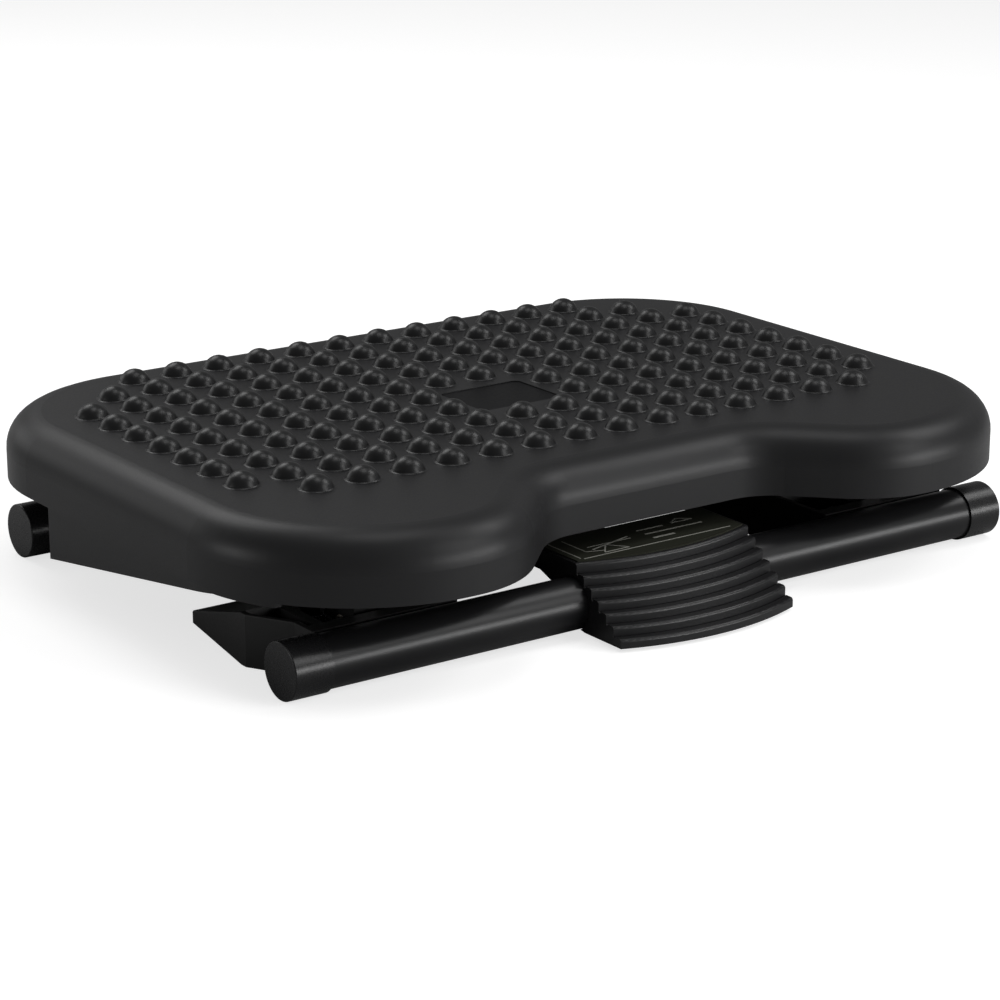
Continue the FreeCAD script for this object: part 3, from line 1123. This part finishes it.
def bowed_band(sketch, front_y, rear_y, rear_bow, half_name="pedal_half"):
    """A strip across the pedal whose front edge bows out, and whose rear edge may bow too."""
    half = size(half_name)
    bow = size(bow_at(half_name))
    front, rear = size(front_y), size(rear_y)
    left, right = "-" + half_name, half_name
    first = sketch.GeometryCount
    front_arc = Part.Arc(Vector(-half, front, 0), Vector(0, front - bow, 0), Vector(half, front, 0))
    sketch.addGeometry(front_arc, False)
    sketch.addGeometry(Part.LineSegment(Vector(half, front, 0), Vector(half, rear, 0)), False)
    if rear_bow:
        rear_arc = Part.Arc(Vector(-half, rear, 0), Vector(0, rear - bow, 0), Vector(half, rear, 0))
        sketch.addGeometry(rear_arc, False)
    else:
        sketch.addGeometry(Part.LineSegment(Vector(-half, rear, 0), Vector(half, rear, 0)), False)
    sketch.addGeometry(Part.LineSegment(Vector(-half, rear, 0), Vector(-half, front, 0)), False)

    def end_near(index, x, y):
        for position in (1, 2):
            if sketch.getPoint(first + index, position).distanceToPoint(Vector(x, y, 0)) < 1e-6:
                return position
    pairs = [(0, 1, half, front), (1, 2, half, rear), (2, 3, -half, rear), (3, 0, -half, front)]
    for a, b, x, y in pairs:
        sketch.addConstraint(Sketcher.Constraint("Coincident", first + a, end_near(a, x, y),
                                                 first + b, end_near(b, x, y)))
    pin_point(sketch, first + 1, 1, right, front_y)
    pin_point(sketch, first + 1, 2, right, rear_y)
    pin_point(sketch, first + 3, 1, left, rear_y)
    pin_point(sketch, first + 3, 2, left, front_y)
    for index in ([0, 2] if rear_bow else [0]):
        held = sketch.addConstraint(Sketcher.Constraint("Radius", first + index, size(bow_radius)))
        sketch.setExpression("Constraints[%d]" % held, linked(bow_radius))


ridge_count = 7
deck_top = "(pedal_low_z + %d * ridge_rise)" % ridge_count


def hook_profile(rear_reach):
    """The side of the pedal in YZ: under the ridges, over the tube and down behind it."""
    lip = "pedal_front_y + %d * ridge_run" % (ridge_count - 1)
    return [("pedal_front_y", "pedal_low_z"), ("pedal_front_y", "pedal_low_z + ridge_rise - ridge_nose_r"),
            ("pedal_front_y + ridge_run", "pedal_low_z + ridge_rise - 0.2"),
            (lip + " + 0.2", deck_top + " - ridge_rise - 0.2"), (lip + " + 0.2", deck_top + " - 1"),
            ("deck_rear_y", deck_top + " - 1"), ("deck_rear_y", "axle_z + tube_r"),
            (rear_reach, "axle_z + tube_r / 2"), (rear_reach, "hook_low_z"),
            ("front_tube_y - 10", "pedal_low_z")]


def make_pedal_tread():
    body = new_body("pedal_tread")
    for i in range(ridge_count):
        band = sketch_on(body, "XY_Plane", "pedal_low_z + %d * ridge_rise" % i, "ridge_%d" % i)
        front = "pedal_front_y + %d * ridge_run" % i
        bowed_band(band, front, front + " + ridge_band", True)
        pad(body, band, "ridge_rise", "ridge_pad_%d" % i)
    deck = sketch_on(body, "XY_Plane", deck_top + " - deck_thickness", "deck")
    bowed_band(deck, "pedal_front_y + %d * ridge_run" % (ridge_count - 1), "deck_rear_y", False)
    pad(body, deck, "deck_thickness", "deck_pad")

    def nose(edge):
        box_of = edge.BoundBox
        flat = box_of.ZLength < 1e-6
        wide = box_of.XLength > size("1.9 * pedal_half")
        for i in range(ridge_count):
            level = size("pedal_low_z + %d * ridge_rise" % (i + 1))
            front = size("pedal_front_y + %d * ridge_run - pedal_bow" % i)
            if flat and wide and abs(box_of.ZMin - level) < 1e-4 and abs(box_of.YMin - front) < 1e-3:
                return True
        return False
    fillet(body, nose, "ridge_nose_r", "noses")
    for i in range(1, ridge_count):
        foot = "pedal_low_z + %d * ridge_rise - groove_depth" % i
        groove = sketch_on(body, "XY_Plane", foot, "groove_%d" % i)
        front = "pedal_front_y + %d * ridge_run - groove_width" % i
        bowed_band(groove, front, front + " + groove_width", True)
        pocket(body, groove, "groove_depth", "groove_cut_%d" % i)
    tube_cut(body, "-pedal_half - 1", "2 * pedal_half + 2", "tube_r + shell_gap", "shell_room")
    rear = "front_tube_y + tube_r + side_bore_gap + hook_wall"
    for name, start in (("left_side", "-pedal_half"), ("right_side", "pedal_half - side_wall")):
        side = sketch_on(body, "YZ_Plane", start, name)
        polygon(side, hook_profile(rear))
        pad(body, side, "side_wall", name + "_pad")
    tube_cut(body, "-pedal_half - 1", "2 * pedal_half + 2", "tube_r + side_bore_gap", "side_bores")
    rear = "front_tube_y + liner_r + hook_wall"
    for name, start in (("left_hub", "-hub_x - hub_width"), ("right_hub", "hub_x")):
        hub = sketch_on(body, "YZ_Plane", start, name)
        polygon(hub, hook_profile(rear))
        pad(body, hub, "hub_width", name + "_pad")
        tube_cut(body, start, "hub_width", "liner_r", name + "_bore")
    tube_cut(body, "-pedal_half - 1", "2 * pedal_half + 2", "tube_r + side_bore_gap", "all_bores")


def tube_cut(body, start, length, radius, name):
    sketch = sketch_on(body, "YZ_Plane", start, name)
    circle(sketch, "front_tube_y", "axle_z", radius)
    before = body.Shape.Volume
    feature = body.newObject("PartDesign::Pocket", name + "_cut")
    feature.Profile = sketch
    feature.Reversed = True
    feature.setExpression("Length", linked(length))
    doc.recompute()
    print(body.Label, name, "removes", round(before - feature.Shape.Volume))


def make_pedal_bush(label, side):
    limit = helper_body(label + "_limit")
    start = "hub_x" if side > 0 else "-hub_x - hub_width"
    sketch = sketch_on(limit, "YZ_Plane", start, "limit")
    polygon(sketch, hook_profile("front_tube_y + liner_r + hook_wall"))
    pad(limit, sketch, "hub_width", "limit_pad")
    outer = cylinder(label + "_outer", "liner_r", "hub_width", (start, "front_tube_y", "axle_z"), "x")
    inner = cylinder(label + "_inner", "tube_r + tube_play", "hub_width + 2",
                     (start + " - 1", "front_tube_y", "axle_z"), "x")
    ring = boolean("Cut", label + "_ring", outer, [inner])
    keep(label, boolean("MultiCommon", label, ring, [limit]))


lip_y = "(pedal_front_y + %d * ridge_run)" % (ridge_count - 1)


def make_pedal_label():
    body = new_body("pedal_label")
    sketch = sketch_on(body, "XY_Plane", deck_top, "plate")
    bowed_band(sketch, lip_y + " + label_margin", "deck_rear_y - label_margin", False, "label_half")
    pad(body, sketch, "label_thickness", "plate_pad")


def make_pedal_link_arm():
    body = new_body("pedal_link_arm")
    plate_z = deck_top + " - deck_thickness - link_plate"
    plate = sketch_on(body, "XY_Plane", plate_z, "plate")
    rectangle(plate, "-link_plate_half", "link_plate_half", "link_plate_front", "link_plate_rear")
    pad(body, plate, "link_plate", "plate_pad")
    arm = sketch_on(body, "YZ_Plane", "-link_half", "arm")
    polygon(arm, [("link_plate_rear - 5", plate_z + " - 2"),
                  ("link_plate_rear - 5", plate_z + " + link_plate"),
                  ("link_y", plate_z + " + link_plate"), ("link_y + 3", "link_z + 4"),
                  ("link_y", "link_z"), ("link_y - 3", "link_z - 4")])
    pad(body, arm, "2 * link_half", "arm_pad")
    eye = sketch_on(body, "YZ_Plane", "-link_half", "eye")
    circle(eye, "link_y", "link_z", "link_eye_r")
    pad(body, eye, "2 * link_half", "eye_pad")
    bore = sketch_on(body, "YZ_Plane", "-link_half - 1", "bore")
    circle(bore, "link_y", "link_z", "link_pin_r")
    pocket(body, bore, "2 * link_half + 2", "bore_cut")
    holes = sketch_on(body, "XY_Plane", plate_z + " - 1", "holes")
    for x in ("-link_plate_half + small_screw_edge", "link_plate_half - small_screw_edge"):
        circle(holes, x, "link_plate_front + small_screw_lead", "small_screw_r")
    pocket(body, holes, "link_plate + 2", "hole_cuts")


def make_link_arm_screws():
    screws = []
    for x in (-1, 1):
        seat = Vector(x * size("link_plate_half - small_screw_edge"),
                      size("link_plate_front + small_screw_lead"),
                      size(deck_top + " - deck_thickness - link_plate"))
        head = Part.makeCylinder(size("small_head_r"), size("small_head_height"), seat, Vector(0, 0, -1))
        shank = Part.makeCylinder(size("small_screw_r"), size("link_plate"), seat, Vector(0, 0, 1))
        screws.append(head.fuse(shank).removeSplitter())
    solid_group("link_arm_screws", screws)


def make_link_pin():
    keep("pedal_link_pin", cylinder("pedal_link_pin", "link_pin_r", "2 * (lever_gap + lever_plate) + 2",
                                    ("-(lever_gap + lever_plate) - 1", "link_y", "link_z"), "x"))


def make_rest_bumper(label, side):
    keep(label, cylinder(label, "bumper_r", "bumper_height",
                         (sided(side, "bumper_x"), "bumper_y", "arm_top_z + bumper_gap")))


# Screws of the platform, each group driven upwards into the inner frame

def upward_screws(label, places, seat_z, length):
    solid_group(label, [screw_solid(Vector(size(x), size(y), size(seat_z)), Vector(0, 0, 1), size(length))
                        for x, y in places])


make_platform_top()
make_massage_domes()
make_badge_plate()
make_inner_frame()
ring_of_cheeks = cheek_ring()
for prefix, hand in (("left", -1), ("right", 1)):
    make_side_cheek(prefix + "_side_cheek", hand, ring_of_cheeks)
    make_hinge_arm(prefix + "_hinge_arm", hand)
    make_hinge_bush(prefix + "_hinge_bush", hand)
    make_hinge_pin(prefix + "_hinge_pin", hand)
    make_base_arm(prefix + "_base_arm", hand)
    make_arm_screws(prefix + "_arm_screws", hand)
    make_lift_spring(prefix + "_lift_spring", hand)
    make_rest_bumper(prefix + "_rest_bumper", hand)
    make_pedal_bush(prefix + "_pedal_bush", hand)
    make_cap("front_%s_cap" % prefix, hand, "front_tube_y")
    make_cap("rear_%s_cap" % prefix, hand, "rear_tube_y")
make_hinge_pin_clips()
both_sides = [sided(side, x) for side in (-1, 1) for x in arm_screw_xs]
make_tube("front_tube", "front_tube_y", 1, both_sides + ["0"])
make_tube("rear_tube", "rear_tube_y", -1, [sided(side, arm_screw_xs[0]) for side in (-1, 1)] + ["0"])
make_lock_bracket()
make_bracket_screws()
cross_pin("lever_pin", "lever_y", "lever_z")
cross_pin("anvil_pin", anvil_y, anvil_z)
make_brake_anvil()
make_brake_sector()
make_brake_lever()
make_brake_shoe()
make_lock_spring()
make_pedal_tread()
make_pedal_label()
make_pedal_link_arm()
make_link_arm_screws()
make_link_pin()
upward_screws("frame_screws", boss_places, "frame_z + counterbore",
              "top_z - skin - frame_z - counterbore - 2")
upward_screws("cheek_screws", tab_screws(), "frame_z - cheek_wall", "cheek_wall + pad_height - 1")
upward_screws("hinge_arm_screws", flange_screws(), "frame_z - flange_height",
              "flange_height + pad_height - 1")
upward_screws("sector_screws", sector_screws(), "frame_z - flange_height", "flange_height + pad_height - 1")

# Checks, then one file for each piece

doc.recompute()
for item in doc.Objects:
    if "Invalid" in item.State or "Error" in item.State:
        raise RuntimeError("%s did not build: %s" % (item.Name, item.State))
for label, item in parts.items():
    if item.Shape.isNull() or not item.Shape.isValid() or not item.Shape.Solids:
        raise RuntimeError(label + " has no valid solid")

os.makedirs("parts", exist_ok=True)
for label, item in parts.items():
    item.Shape.exportStep(os.path.join("parts", label + ".step"))
print(len(parts), "pieces")
